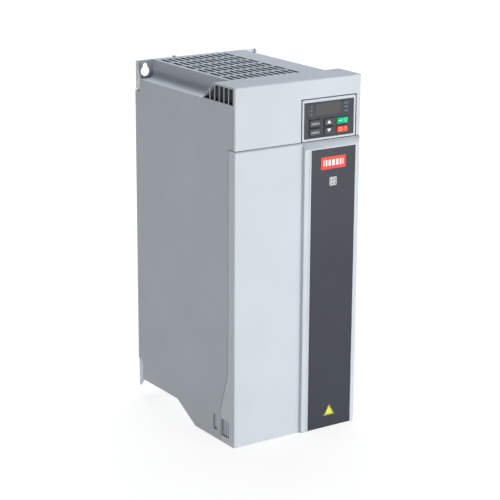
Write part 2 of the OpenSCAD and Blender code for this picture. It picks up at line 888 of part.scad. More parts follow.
// Raised column: flush at the joint, then a ramp up to its full height
module column_block() {
    ramp_z = seam_z - 1.8;
    full_z = seam_z - 8;
    edge = 0.2;
    slope = 5;
    chamfer = 3;
    intersection() {
        along_x(column_x0, column_x1) polygon([
            [1, 0], [-column_h, 0], [-column_h, full_z], [0, ramp_z], [1, ramp_z]
        ]);
        translate([0, 0, -1]) linear_extrude(seam_z) polygon([
            [column_x0, 1], [column_x0, 0], [column_x0 + edge, -column_h],
            [column_x1 - slope, -column_h], [column_x1, 0], [column_x1, 1]
        ]);
        along_y(-column_h - 1, 2) polygon([
            [0, -1], [column_x1 - chamfer, -1], [column_x1 - chamfer, 0], [column_x1, chamfer],
            [column_x1, seam_z], [0, seam_z]
        ]);
    }
}

module terminal_cover() {
    side_t = 2.5;
    color([0.81, 0.84, 0.88]) placed() difference() {
        union() {
            difference() {
                intersection() {
                    linear_extrude(seam_z) front_plan(flange_low_d);
                    along_x(-half_w, half_w) flange_outline();
                }
                box([-half_w + side_t, skin, -1], [half_w - side_t, body_d, body_h]);
            }
            along_x(-half_w + side_t - eps, half_w - side_t + eps)
                translate([hinge_y, hinge_z]) circle(hinge_r);
            column_block();
        }
        // the column is hollow behind, and recessed in front for its panel
        box([column_x0 + skin, -column_h + skin + 1.2, -1], [column_x1 - skin, skin + eps, seam_z - 12]);
        box([panel_x0, -column_h - 1, -1], [panel_x1, -column_h + 1.8, panel_z1]);
        box([panel_x0 - 3.3, -column_h - 1, -1], [panel_x0 - 2.2, -column_h + 0.5, seam_z - 9.4]);
        both_sides() {
            // clearance for the hinge lug, leaving a pin across it
            difference() {
                union() {
                    along_x(lug_x - 0.4, lug_x + lug_w + 0.4)
                        translate([hinge_y, hinge_z]) circle(lug_r + 0.35);
                    box([lug_x - 0.4, hinge_y, hinge_z - 6], [lug_x + lug_w + 0.4, 12, seam_z + 1]);
                }
                translate([0, hinge_y, hinge_z]) rotate([0, 90, 0])
                    cylinder(r = pin_r, h = far, center = true);
            }
            // latch window
            box([half_w - side_t - 1, latch_y0, latch_z0], [half_w + 1, latch_y1, latch_z1]);
        }
    }
}

// Dark insert in the front of the column
module cover_panel() {
    color([0.27, 0.28, 0.31]) placed()
        box([panel_x0 + 0.15, -column_h + 0.5, 0.4], [panel_x1 - 0.15, -column_h + 1.8, panel_z1 - 0.15]);
}

module name_label() {
    color([0.9, 0.2, 0.17]) placed() along_y(-column_h + 0.1, -column_h + 0.5)
        round_rect([panel_mid_x - 17.3, 315.4], [34.6, 14.4], 0.5);
}

module code_label() {
    color([0.85, 0.86, 0.87]) placed() along_y(-column_h + 0.2, -column_h + 0.5)
        round_rect([panel_mid_x - 5, 295.5], [10, 10], 0.6);
}

module triangle_label() {
    s = 15.4;
    color([0.95, 0.9, 0.2]) placed() along_y(-column_h + 0.2, -column_h + 0.5)
        translate([panel_mid_x, 15.2]) polygon([[-s / 2, 0], [s / 2, 0], [0, s * sin(60)]]);
}

// Ribbed finger tab in the flange's window; it slides inwards to free the cover
module latch() {
    x1 = half_w - 1.6;
    x0 = x1 - 1.7;
    rib = 1.1;
    gap = 0.7;
    color([0.7, 0.72, 0.75]) placed() {
        box([x0, latch_y0 + 0.4, latch_z0 + gap], [x1, latch_y1 - 2.4, latch_z1 - gap]);
        for (y = [3, 7, 11])
            box([x0, latch_y0 + y, latch_z0 + gap], [x1 + 0.6, latch_y0 + y + rib, latch_z1 - gap]);
    }
}

module latch_right() {
    latch();
}

module latch_left() {
    mirror([1, 0, 0]) latch();
}

// ---------------------------------------------------------------- keypad

// Outline of the keypad's face, set in by g all round
module face_outline(g) {
    round_rect([keypad_x0 + bezel + g, keypad_z0 + bezel + g],
        [keypad_w - 2 * (bezel + g), keypad_h - bezel - bezel_top - 2 * g], 0.8);
}

module keypad_frame() {
    t = 1.4;
    x0 = keypad_x0 + 2.2;
    x1 = keypad_x1 - 2.8;
    z0 = keypad_z0 + 2.4;
    z1 = keypad_z1 - 2.4;
    color([0.78, 0.82, 0.86]) placed() difference() {
        union() {
            along_y(bezel_y, 3) round_rect([keypad_x0, keypad_z0], [keypad_w, keypad_h], 1.2);
            box([x0, 2, z0], [x1, keypad_deep, z1]);
        }
        along_y(bezel_y - 1, 1.8) face_outline(0);
        box([x0 + t, 0, z0 + t], [x1 - t, keypad_deep + 1, z1 - t]);
    }
}

module keypad_back() {
    color([0.3, 0.31, 0.33]) placed() difference() {
        box([keypad_x0 + 2.2, keypad_deep, keypad_z0 + 2.4],
            [keypad_x1 - 2.8, keypad_deep + 1.5, keypad_z1 - 2.4]);
        box([plug_x - 5, 0, plug_z - 4], [plug_x + 5, far, plug_z + 4]);
    }
}

// Openings of the buttons, each widened by g all round
module button_holes(g) {
    for (z = row_z) {
        for (b = [[program_x, small_w, button_h], [up_x, arrow_w, button_h], [run_x, run_w, run_h]])
            round_rect([b[0] - b[1] / 2 - g, z - b[2] / 2 - g], [b[1] + 2 * g, b[2] + 2 * g], 0.8 + g);
    }
}

module keypad_face() {
    color([0.25, 0.26, 0.28]) placed() difference() {
        along_y(face_y, 1.8) face_outline(0.1);
        along_y(-5, 5) button_holes(0.35);
        // recess and opening for the display
        along_y(-5, face_y + 0.5)
            round_rect([display_x - display_w / 2, display_z - display_h / 2], [display_w, display_h], 1);
        along_y(-5, 5) round_rect([display_x - 14, display_z - 5], [28, 10], 0.5);
        for (x = lamp_x, z = lamp_z) box([x - 1.2, -5, z - 0.8], [x + 1.2, 5, z + 0.8]);
    }
}

module segment_display() {
    gap = 0.1;
    color([0.12, 0.1, 0.1]) placed() {
        // smoked window in front, digit block behind it
        along_y(face_y + gap, face_y + 0.5) round_rect(
            [display_x - display_w / 2 + gap, display_z - display_h / 2 + gap],
            [display_w - 2 * gap, display_h - 2 * gap], 1);
        box([display_x - 13.8, face_y + 0.4, display_z - 4.8],
            [display_x + 13.8, board_y, display_z + 4.8]);
    }
}

module keypad_board() {
    color([0.08, 0.32, 0.2]) placed() {
        box([keypad_x0 + 4, board_y, keypad_z0 + 4.2],
            [keypad_x1 - 4.6, board_y + board_t, keypad_z1 - 4.2]);
        // six status lamps, up through the face
        for (x = lamp_x, z = lamp_z) box([x - 1, face_y + 0.1, z - 0.6], [x + 1, board_y + eps, z + 0.6]);
    }
}

module keypad_plug() {
    color([0.15, 0.15, 0.16]) placed() {
        box([plug_x - 4.9, board_y + board_t, plug_z - 3.9],
            [plug_x + 4.9, keypad_deep + 9.5, plug_z + 3.9]);
    }
}

// Key cap of size w by h, with edges that slope back by the widths side and top, and a retaining
// flange behind the face
module button_cap(x, row, w, h, side, top) {
    front = -1.3;
    foot = -0.1;
    z = row_z[row];
    placed() {
        intersection() {
            along_y(front, 3) round_rect([x - w / 2, z - h / 2], [w, h], 0.8);
            along_x(x - w, x + w) polygon([
                [4, z - h / 2], [foot, z - h / 2], [front, z - h / 2 + side],
                [front, z + h / 2 - top], [foot, z + h / 2], [4, z + h / 2]
            ]);
            translate([0, 0, z - h]) linear_extrude(2 * h) polygon([
                [x - w / 2, 4], [x - w / 2, foot], [x - w / 2 + side, front],
                [x + w / 2 - side, front], [x + w / 2, foot], [x + w / 2, 4]
            ]);
        }
        along_y(2.2, 3.2) round_rect([x - w / 2 - 0.4, z - h / 2 - 0.4], [w + 0.8, h + 0.8], 1);
        translate([x, 3, z]) rotate([-90, 0, 0]) cylinder(r = 1.8, h = board_y - 3 - button_travel - 0.4);
    }
}

module button_program() {
    color([0.28, 0.29, 0.31]) button_cap(program_x, 0, small_w, button_h, 0.9, 2);
}

module button_enter() {
    color([0.28, 0.29, 0.31]) button_cap(program_x, 1, small_w, button_h, 0.9, 2);
}

module button_up() {
    color([0.28, 0.29, 0.31]) button_cap(up_x, 0, arrow_w, button_h, 0.9, 2);
}

module button_down() {
    color([0.28, 0.29, 0.31]) button_cap(up_x, 1, arrow_w, button_h, 0.9, 2);
}

module button_run() {
    color([0.0, 0.7, 0.42]) button_cap(run_x, 0, run_w, run_h, 0.5, 0.5);
}

module button_stop() {
    color([0.95, 0.27, 0.17]) button_cap(run_x, 1, run_w, run_h, 0.5, 0.5);
}

main_housing();
upper_front_cover();
keypad_cradle();
wall_plate();
heatsink();
fan_tray();
fan_frame_left();
fan_frame_right();
fan_rotor_left();
fan_rotor_right();
control_bracket();
control_board();
control_terminals();
power_board();
rectifier_module();
igbt_module();
capacitor_1();
capacitor_2();
capacitor_3();
capacitor_4();
capacitor_holder();
busbar_plus();
busbar_minus();
busbar_u();
busbar_v();
busbar_w();
current_sensor_u();
current_sensor_w();
charge_relay();
terminal_bracket();
power_terminal_block();
terminal_screws();
earth_screws();
board_screws();
board_standoffs();
cable_entry_plate();
grommet_left();
grommet_middle();
grommet_right();
ribbon_cable();
keypad_socket();
terminal_cover();
cover_panel();
name_label();
code_label();
triangle_label();
latch_left();
latch_right();
keypad_frame();
keypad_back();
keypad_face();
keypad_board();
segment_display();
button_program();
button_enter();
button_up();
button_down();
button_run();
button_stop();
keypad_plug();
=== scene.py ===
import json
import math

import bmesh
import bpy
from mathutils import Matrix, Vector


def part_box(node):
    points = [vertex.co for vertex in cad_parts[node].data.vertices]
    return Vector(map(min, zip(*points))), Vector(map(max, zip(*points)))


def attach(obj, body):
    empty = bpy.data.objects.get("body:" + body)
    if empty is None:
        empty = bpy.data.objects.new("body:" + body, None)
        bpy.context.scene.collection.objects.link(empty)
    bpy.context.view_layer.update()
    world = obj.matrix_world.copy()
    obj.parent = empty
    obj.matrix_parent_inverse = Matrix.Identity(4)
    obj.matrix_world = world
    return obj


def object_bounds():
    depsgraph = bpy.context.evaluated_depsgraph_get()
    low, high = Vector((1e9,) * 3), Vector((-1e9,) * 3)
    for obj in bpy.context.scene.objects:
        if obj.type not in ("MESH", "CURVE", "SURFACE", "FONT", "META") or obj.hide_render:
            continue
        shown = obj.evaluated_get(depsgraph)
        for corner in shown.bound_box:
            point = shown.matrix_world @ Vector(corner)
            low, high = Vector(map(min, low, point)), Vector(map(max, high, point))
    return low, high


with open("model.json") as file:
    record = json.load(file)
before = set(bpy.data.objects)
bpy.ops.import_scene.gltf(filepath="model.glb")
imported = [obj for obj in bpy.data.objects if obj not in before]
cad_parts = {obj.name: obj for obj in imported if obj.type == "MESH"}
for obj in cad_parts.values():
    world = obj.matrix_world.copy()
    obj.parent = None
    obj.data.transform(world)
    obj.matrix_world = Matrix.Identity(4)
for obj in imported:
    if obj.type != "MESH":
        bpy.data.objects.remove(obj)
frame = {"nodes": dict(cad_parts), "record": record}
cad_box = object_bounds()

MM = 0.001
nodes = frame["nodes"]
scene = bpy.context.scene
scene.view_settings.view_transform = "Standard"
scene.view_settings.look = "None"


# ---------------------------------------------------------------- material helpers

class Tree:
    """Short names for building a material's node tree."""

    def __init__(self, name):
        self.material = bpy.data.materials.new(name)
        self.material.use_nodes = True
        self.tree = self.material.node_tree
        self.tree.nodes.clear()
        self.out = self.add("ShaderNodeOutputMaterial")
        self.shader = self.add("ShaderNodeBsdfPrincipled")
        self.link(self.shader.outputs["BSDF"], self.out.inputs["Surface"])
        self.coord = self.add("ShaderNodeTexCoord").outputs["Object"]

    def add(self, kind, **values):
        node = self.tree.nodes.new(kind)
        for key, value in values.items():
            setattr(node, key, value)
        return node

    def link(self, a, b):
        self.tree.links.new(a, b)

    def mapped(self, scale):
        """Object coordinates stretched by scale."""
        mapping = self.add("ShaderNodeMapping")
        mapping.inputs["Scale"].default_value = scale
        self.link(self.coord, mapping.inputs["Vector"])
        return mapping.outputs["Vector"]

    def noise(self, scale, detail=3.0, rough=0.55, vector=None):
        texture = self.add("ShaderNodeTexNoise")
        texture.inputs["Scale"].default_value = scale
        texture.inputs["Detail"].default_value = detail
        texture.inputs["Roughness"].default_value = rough
        self.link(vector or self.coord, texture.inputs["Vector"])
        return texture.outputs["Fac"]

    def span(self, value, lo, hi, from_lo=0.0, from_hi=1.0):
        """Maps value from from_lo..from_hi to lo..hi."""
        remap = self.add("ShaderNodeMapRange")
        remap.inputs["From Min"].default_value = from_lo
        remap.inputs["From Max"].default_value = from_hi
        remap.inputs["To Min"].default_value = lo
        remap.inputs["To Max"].default_value = hi
        self.link(value, remap.inputs["Value"])
        return remap.outputs["Result"]

    def math(self, kind, a, b):
        step = self.add("ShaderNodeMath", operation=kind)
        self.fill(step.inputs[0], a)
        self.fill(step.inputs[1], b)
        return step.outputs[0]

    def mix(self, fac, a, b):
        """Colour a where fac is 0, colour b where it is 1."""
        mixer = self.add("ShaderNodeMix", data_type="RGBA")
        self.fill(mixer.inputs[0], fac)
        self.fill(mixer.inputs[6], a)
        self.fill(mixer.inputs[7], b)
        return mixer.outputs[2]

    def bump(self, height, distance):
        relief = self.add("ShaderNodeBump")
        relief.inputs["Distance"].default_value = distance
        relief.inputs["Strength"].default_value = 1.0
        self.link(height, relief.inputs["Height"])
        return relief.outputs["Normal"]

    def edges(self, radius):
        """About 1 on edges tighter than radius, 0 on flat faces."""
        rounded = self.add("ShaderNodeBevel", samples=4)
        rounded.inputs["Radius"].default_value = radius
        surface = self.add("ShaderNodeNewGeometry")
        likeness = self.add("ShaderNodeVectorMath", operation="DOT_PRODUCT")
        self.link(rounded.outputs["Normal"], likeness.inputs[0])
        self.link(surface.outputs["Normal"], likeness.inputs[1])
        return self.span(likeness.outputs["Value"], 1.0, 0.0, 0.72, 0.99)

    def painted_gap_shade(self, distance):
        """Painted shade from ambient occlusion: 0 on open faces and in plain corners, rising to 1 inside
        narrow gaps.
        """
        openness = self.add("ShaderNodeAmbientOcclusion", samples=8)
        openness.inputs["Distance"].default_value = distance
        return self.span(openness.outputs["AO"], 1.0, 0.0, 0.12, 0.5)

    def fill(self, socket, value):
        """Gives a socket a number, a colour or a link."""
        if isinstance(value, (int, float)):
            socket.default_value = value
        elif isinstance(value, tuple):
            socket.default_value = (*value, 1)
        else:
            self.link(value, socket)

    def set(self, **values):
        """Fills the shader's sockets, named with _ for each space."""
        for key, value in values.items():
            self.fill(self.shader.inputs[key.replace("_", " ")], value)


def shade(color, factor):
    """A lighter or darker tone of a colour."""
    return tuple(min(1.0, channel * factor) for channel in color)


def moulded(name, color, rough=0.42, grain=1400, grain_h=0.012, wear=0.0, mottle=0.03, specular=0.4,
            gap_shade=0.0):
    """Moulded plastic: fine grain, slight colour drift, worn lighter edges, painted shade in narrow gaps."""
    t = Tree(name)
    drift = t.noise(14, 4)
    fine = t.noise(grain, 2)
    base = t.mix(t.span(drift, 0, 1, 0.3, 0.7), shade(color, 1 - mottle), shade(color, 1 + mottle))
    base = t.mix(t.span(fine, 0, 0.12, 0.4, 0.7), base, shade(color, 0.86))
    if wear:
        rubbed = t.math("MULTIPLY", t.edges(0.0007), t.span(t.noise(90, 5), 0.2, 1, 0.35, 0.65))
        base = t.mix(t.math("MULTIPLY", rubbed, wear), base, shade(color, 1.25))
    # painted shade: narrow gaps are darkened by ambient occlusion
    if gap_shade:
        base = t.mix(t.math("MULTIPLY", t.painted_gap_shade(gap_shade), 0.9), base, shade(color, 0.06))
    smudge = t.noise(38, 5, 0.6)
    t.set(Base_Color=base, Roughness=t.span(smudge, rough - 0.06, rough + 0.08, 0.3, 0.7),
          Normal=t.bump(fine, grain_h * MM), Specular_IOR_Level=specular)
    return t.material


def galvanised(name, color):
    """Zinc-coated sheet: angular crystals of differing brightness under a fine roughness."""
    t = Tree(name)
    warp = t.add("ShaderNodeVectorMath", operation="ADD")
    wobble = t.add("ShaderNodeTexNoise")
    wobble.inputs["Scale"].default_value = 60
    t.link(t.coord, wobble.inputs["Vector"])
    small = t.add("ShaderNodeVectorMath", operation="SCALE")
    small.inputs["Scale"].default_value = 0.006
    t.link(wobble.outputs["Color"], small.inputs[0])
    t.link(t.coord, warp.inputs[0])
    t.link(small.outputs[0], warp.inputs[1])
    crystals = t.add("ShaderNodeTexVoronoi")
    crystals.inputs["Scale"].default_value = 95
    t.link(warp.outputs[0], crystals.inputs["Vector"])
    channels = t.add("ShaderNodeSeparateColor")
    t.link(crystals.outputs["Color"], channels.inputs[0])
    cell = channels.outputs[0]
    streak = t.noise(260, 4, 0.6, t.mapped((1, 1, 0.25)))
    base = t.mix(cell, shade(color, 0.82), shade(color, 1.12))
    base = t.mix(t.span(t.edges(0.0006), 0, 0.45), base, shade(color, 1.3))
    t.set(Base_Color=base, Metallic=0.1,
          Roughness=t.math("ADD", t.span(cell, 0.4, 0.55), t.span(streak, -0.05, 0.08)),
          Normal=t.bump(streak, 0.01 * MM))
    return t.material


def metal(name, color, rough=0.35, grain=(1, 1, 0.05)):
    """Drawn, machined or rolled metal with a directional grain."""
    t = Tree(name)
    lines = t.noise(700, 3, 0.6, t.mapped(grain))
    patch = t.noise(30, 4)
    base = t.mix(t.span(patch, 0, 1, 0.3, 0.7), shade(color, 0.88), shade(color, 1.06))
    base = t.mix(t.span(t.edges(0.0005), 0, 0.5), base, shade(color, 1.25))
    t.set(Base_Color=base, Metallic=1.0, Roughness=t.span(lines, rough - 0.1, rough + 0.14, 0.25, 0.75),
          Normal=t.bump(lines, 0.012 * MM))
    return t.material


def circuit(name, color):
    """Solder mask over a fine grid of tracks, with through-hole dots."""
    t = Tree(name)
    tracks = t.add("ShaderNodeTexVoronoi", distance="MANHATTAN", feature="F1")
    tracks.inputs["Scale"].default_value = 210
    t.link(t.mapped((1, 0.01, 1.7)), tracks.inputs["Vector"])
    line = t.span(tracks.outputs["Distance"], 0, 1, 0.42, 0.5)
    dots = t.add("ShaderNodeTexVoronoi")
    dots.inputs["Scale"].default_value = 330
    dots.inputs["Randomness"].default_value = 0.3
    t.link(t.mapped((1, 0.01, 1)), dots.inputs["Vector"])
    dot = t.span(dots.outputs["Distance"], 1, 0, 0.1, 0.16)
    base = t.mix(line, color, shade(color, 1.8))
    base = t.mix(dot, base, (0.55, 0.53, 0.45))
    t.set(Base_Color=base, Roughness=t.span(t.noise(80, 4), 0.25, 0.42), Metallic=t.span(dot, 0, 0.6),
          Normal=t.bump(line, 0.03 * MM), Coat_Weight=0.3)
    return t.material


def printed(name, color, rough=0.45):
    """Ink or a thin film: slight unevenness in tone and gloss."""
    t = Tree(name)
    fine = t.noise(900, 3)
    t.set(Base_Color=t.mix(fine, shade(color, 0.93), shade(color, 1.05)),
          Roughness=t.span(t.noise(60, 3), rough - 0.08, rough + 0.08),
          Normal=t.bump(fine, 0.004 * MM))
    return t.material


MATS = {
    # casing_plastic is the front's plastic painted darker: painted shade for the casing's sides
    "casing_plastic": moulded("casing_plastic", (0.49, 0.525, 0.575), 0.5, wear=0.3, gap_shade=0.004),
    "front_plastic": moulded("front_plastic", (0.585, 0.625, 0.675), 0.42, wear=0.3, gap_shade=0.004),
    "zinc_sheet": galvanised("zinc_sheet", (0.74, 0.79, 0.84)),
    "sink_aluminium": metal("sink_aluminium", (0.68, 0.69, 0.7), 0.38),
    "black_plastic": moulded("black_plastic", (0.028, 0.029, 0.032), 0.5, wear=0.2, mottle=0.15),
    "board_green": circuit("board_green", (0.012, 0.13, 0.06)),
    "terminal_green": moulded("terminal_green", (0.03, 0.26, 0.09), 0.38, mottle=0.06),
    "capacitor_sleeve": moulded("capacitor_sleeve", (0.02, 0.025, 0.06), 0.25, grain=400, mottle=0.1),
    "copper": metal("copper", (0.78, 0.40, 0.25), 0.3, grain=(1, 1, 0.08)),
    "sensor_blue": moulded("sensor_blue", (0.02, 0.035, 0.2), 0.45, mottle=0.08),
    "brass": metal("brass", (0.76, 0.6, 0.3), 0.28, grain=(1, 0.1, 1)),
    "rubber": moulded("rubber", (0.022, 0.022, 0.023), 0.72, grain=700, grain_h=0.03, mottle=0.2),
    "ribbon_grey": moulded("ribbon_grey", (0.35, 0.36, 0.38), 0.5),
    "dark_panel": moulded("dark_panel", (0.024, 0.030, 0.042), 0.45, grain=1100, grain_h=0.02, mottle=0.06),
    "red_label": printed("red_label", (0.90, 0.045, 0.022), 0.35),
    "white_label": printed("white_label", (0.62, 0.64, 0.67), 0.5),
    "yellow_label": printed("yellow_label", (0.74, 0.74, 0.06), 0.35),
    "display_smoke": printed("display_smoke", (0.025, 0.024, 0.027), 0.35),
    "button_dark": moulded("button_dark", (0.055, 0.06, 0.068), 0.5, grain=900, wear=0.5, mottle=0.08),
    "button_green": moulded("button_green", (0.0, 0.54, 0.255), 0.55, grain=900, wear=0.3, mottle=0.05,
                            specular=0.15),
    "button_red": moulded("button_red", (0.95, 0.07, 0.03), 0.45, grain=900, wear=0.3, mottle=0.05,
                          specular=0.15),
    "ink_white": printed("ink_white", (0.85, 0.88, 0.9), 0.5),
    "ink_grey": printed("ink_grey", (0.36, 0.42, 0.50), 0.5),
    "ink_dark": printed("ink_dark", (0.03, 0.03, 0.035), 0.5),
    "ink_green": printed("ink_green", (0.30, 0.80, 0.58), 0.5),
    "ink_pink": printed("ink_pink", (0.98, 0.42, 0.33), 0.5),
    "liner": moulded("liner", (0.075, 0.08, 0.088), 0.55, mottle=0.1),
    "lamp_lens": printed("lamp_lens", (0.085, 0.125, 0.155), 0.25),
    "segment": printed("segment", (0.042, 0.033, 0.031), 0.4),
}

# ---------------------------------------------------------------- CAD nodes

# Width in mm of the small edge round that a moulding or sheet shows
EDGE = {
    "main_housing": 0.35, "upper_front_cover": 0.3, "terminal_cover": 0.2, "wall_plate": 0.25,
    "keypad_frame": 0.35, "keypad_face": 0.15, "cover_panel": 0.2, "keypad_cradle": 0.2,
    "latch_left": 0.2, "latch_right": 0.2, "heatsink": 0.25, "fan_tray": 0.2,
    "cable_entry_plate": 0.2, "control_bracket": 0.2, "terminal_bracket": 0.2,
}
EDGE.update({key: 0.45 for key in ("button_run", "button_stop")})
# a wider round on a dark key meets the keypad's face when the key is pressed
EDGE.update({key: 0.12 for key in ("button_program", "button_enter", "button_up", "button_down")})

SMOOTH_ANGLE = 32
BEVEL_ANGLE = 35


def smooth_group():
    """Geometry nodes: drop the stored normals and shade smooth below SMOOTH_ANGLE degrees."""
    group = bpy.data.node_groups.new("shade_by_angle", "GeometryNodeTree")
    group.interface.new_socket("Geometry", in_out="INPUT", socket_type="NodeSocketGeometry")
    group.interface.new_socket("Geometry", in_out="OUTPUT", socket_type="NodeSocketGeometry")
    start = group.nodes.new("NodeGroupInput")
    end = group.nodes.new("NodeGroupOutput")
    drop = group.nodes.new("GeometryNodeRemoveAttribute")
    drop.inputs["Name"].default_value = "custom_normal"
    angle = group.nodes.new("GeometryNodeInputMeshEdgeAngle")
    below = group.nodes.new("FunctionNodeCompare")
    below.data_type = "FLOAT"
    below.operation = "LESS_EQUAL"
    below.inputs[1].default_value = math.radians(SMOOTH_ANGLE)
    faces = group.nodes.new("GeometryNodeSetShadeSmooth")
    faces.domain = "FACE"
    edges = group.nodes.new("GeometryNodeSetShadeSmooth")
    edges.domain = "EDGE"
    group.links.new(start.outputs[0], drop.inputs["Geometry"])
    group.links.new(drop.outputs[0], faces.inputs["Geometry"])
    group.links.new(faces.outputs[0], edges.inputs["Geometry"])
    group.links.new(angle.outputs["Unsigned Angle"], below.inputs[0])
    group.links.new(below.outputs[0], edges.inputs["Shade Smooth"])
    group.links.new(edges.outputs[0], end.inputs[0])
    return group


SMOOTH = smooth_group()


def soften(obj, width):
    """Rounds the sharp edges of a CAD node by width mm, with modifiers only."""
    weld = obj.modifiers.new("weld", "WELD")
    weld.merge_threshold = 2e-6
    if width:
        bevel = obj.modifiers.new("edge", "BEVEL")
        bevel.width = width * MM
        bevel.segments = 2
        bevel.limit_method = "ANGLE"
        bevel.angle_limit = math.radians(BEVEL_ANGLE)
        bevel.use_clamp_overlap = False
        bevel.miter_outer = "MITER_ARC"
    shade_mod = obj.modifiers.new("shade", "NODES")
    shade_mod.node_group = SMOOTH
    if width:
        obj.modifiers.new("weighted", "WEIGHTED_NORMAL").keep_sharp = True


slot_of = {part["node"]: part["material_slot"] for part in frame["record"]["subparts"]}
for name, obj in nodes.items():
    obj.data.materials.clear()
    obj.data.materials.append(MATS[slot_of[name]])
    soften(obj, EDGE.get(name, 0))
# the keypad's pocket is a little lighter than the other parts in its slot
nodes["keypad_cradle"].data.materials[0] = MATS["liner"]


# ---------------------------------------------------------------- shape helpers

INK = 0.04 * MM


def add_mesh(name, bm, mat, body):
    """Turns a bmesh into a visible piece that rides on a body."""
    mesh = bpy.data.meshes.new(name)
    bm.normal_update()
    bm.to_mesh(mesh)
    bm.free()
    obj = bpy.data.objects.new(name, mesh)
    scene.collection.objects.link(obj)
    mesh.materials.append(MATS[mat])
    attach(obj, body)
    return obj


def solid_between(bm, front, back):
    """Adds the closed solid between two outlines whose corners match."""
    near = [bm.verts.new(corner) for corner in front]
    far = [bm.verts.new(corner) for corner in back]
    bm.faces.new(near)
    bm.faces.new(far[::-1])
    count = len(near)
    for i in range(count):
        after = (i + 1) % count
        bm.faces.new((near[after], near[i], far[i], far[after]))


def shapes(name, outlines, y, depth, mat, body):
    """Makes one piece of flat shapes that lie in X and Z, from y back to y + depth."""
    bm = bmesh.new()
    for outline in outlines:
        solid_between(bm, [(x, y, z) for x, z in outline], [(x, y + depth, z) for x, z in outline])
    bmesh.ops.recalc_face_normals(bm, faces=bm.faces)
    return add_mesh(name, bm, mat, body)


def bar(cx, cz, width, height, radius=0.0, steps=4):
    """Outline of a rectangle, its corners round if radius is given: centre in metres, sizes in mm."""
    half_w, half_h = width / 2, height / 2
    if radius == 0:
        offsets = [(-half_w, -half_h), (half_w, -half_h), (half_w, half_h), (-half_w, half_h)]
    else:
        offsets = []
        for side, end, first in ((1, -1, -90), (1, 1, 0), (-1, 1, 90), (-1, -1, 180)):
            for step in range(steps + 1):
                angle = math.radians(first + 90 * step / steps)
                offsets.append((side * (half_w - radius) + radius * math.cos(angle),
                                end * (half_h - radius) + radius * math.sin(angle)))
    return [(cx + x * MM, cz + z * MM) for x, z in offsets]


def ring(cx, cz, radius, line, corners, turn=0.0):
    """Quads that outline a polygon with a line: centre in metres, sizes in mm."""
    def at(corner, reach):
        angle = math.radians(turn + 360 * corner / corners)
        return cx + reach * math.cos(angle) * MM, cz + reach * math.sin(angle) * MM
    return [[at(k, radius), at(k + 1, radius), at(k + 1, radius - line), at(k, radius - line)]
            for k in range(corners)]


def centre(node):
    """Middle of a node's front face."""
    lo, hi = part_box(node)
    return (lo.x + hi.x) / 2, lo.y, (lo.z + hi.z) / 2


def print_on_key(node, marks, ink):
    """Prints marks on the front face of a key."""
    shapes("legend_" + node, marks, centre(node)[1] - INK, 2 * INK, ink, node)


# ---------------------------------------------------------------- key legends

# the dark keys' marks sit this far from their centres, in mm
LEGEND_SHIFT = 0.3
ARROW_HALF, ARROW_FOOT, ARROW_TIP = 2.7, 1.9, 2.0
# offset and width in mm of each bar that stands for a word
WORD_BARS = [(-4.5, 1.8), (-1.8, 2.4), (1.4, 2.8), (4.5, 1.9)]
WORD_HEIGHT = 1.7
# the two large keys have bars left of the middle and a symbol right of it
BARS_X, SYMBOL_X = -3.2, 4.0

for node, sign in (("button_up", 1), ("button_down", -1)):
    x, y, z = centre(node)
    z += LEGEND_SHIFT * MM
    foot_z = z - sign * ARROW_FOOT * MM
    arrow = [(x - ARROW_HALF * MM, foot_z), (x + ARROW_HALF * MM, foot_z), (x, z + sign * ARROW_TIP * MM)]
    print_on_key(node, [arrow], "ink_white")

for node in ("button_program", "button_enter"):
    x, y, z = centre(node)
    word = [bar(x + dx * MM, z - LEGEND_SHIFT * MM, width, WORD_HEIGHT, 0.25) for dx, width in WORD_BARS]
    print_on_key(node, word, "ink_grey")

x, y, z = centre("button_run")
marks = [bar(x + BARS_X * MM, z, 5.4, 1.5, 0.25)] + ring(x + SYMBOL_X * MM, z, 2.6, 0.7, 4)
print_on_key("button_run", marks, "ink_green")

x, y, z = centre("button_stop")
marks = [bar(x + BARS_X * MM, z + dz * MM, 5.2, 1.2, 0.25) for dz in (1.4, -1.4)]
marks += ring(x + SYMBOL_X * MM, z, 2.3, 0.6, 8, 22.5)
print_on_key("button_stop", marks, "ink_pink")


# ---------------------------------------------------------------- label marks

PULSE_WIDTHS = [1.3, 2.2, 3.2, 3.9, 3.2, 2.2, 1.3]
PULSE_SPACE = 1.8
PULSE_HEIGHT = 7.0
WEAVE_COUNT = 7
WEAVE_PITCH = 1.3
WEAVE_CELL = 1.1


def pulse_mark():
    """Bars on the red label that widen towards the middle and narrow again."""
    x, y, z = centre("name_label")
    edge = -(sum(PULSE_WIDTHS) + PULSE_SPACE * (len(PULSE_WIDTHS) - 1)) / 2
    bars = []
    for width in PULSE_WIDTHS:
        bars.append(bar(x + (edge + width / 2) * MM, z, width, PULSE_HEIGHT, 0.3))
        edge += width + PULSE_SPACE
    shapes("pulse_mark", bars, y - INK, 2 * INK, "ink_white", "cover")


def code_blocks():
    """A plain weave of dark blocks on the square label. It encodes nothing."""
    x, y, z = centre("code_label")
    half = WEAVE_COUNT // 2
    cells = [bar(x + (i - half) * WEAVE_PITCH * MM, z + (j - half) * WEAVE_PITCH * MM, WEAVE_CELL, WEAVE_CELL)
             for i in range(WEAVE_COUNT) for j in range(WEAVE_COUNT) if (i * i + 2 * j + i * j) % 3 != 1]
    shapes("code_blocks", cells, y - INK, 2 * INK, "ink_dark", "cover")


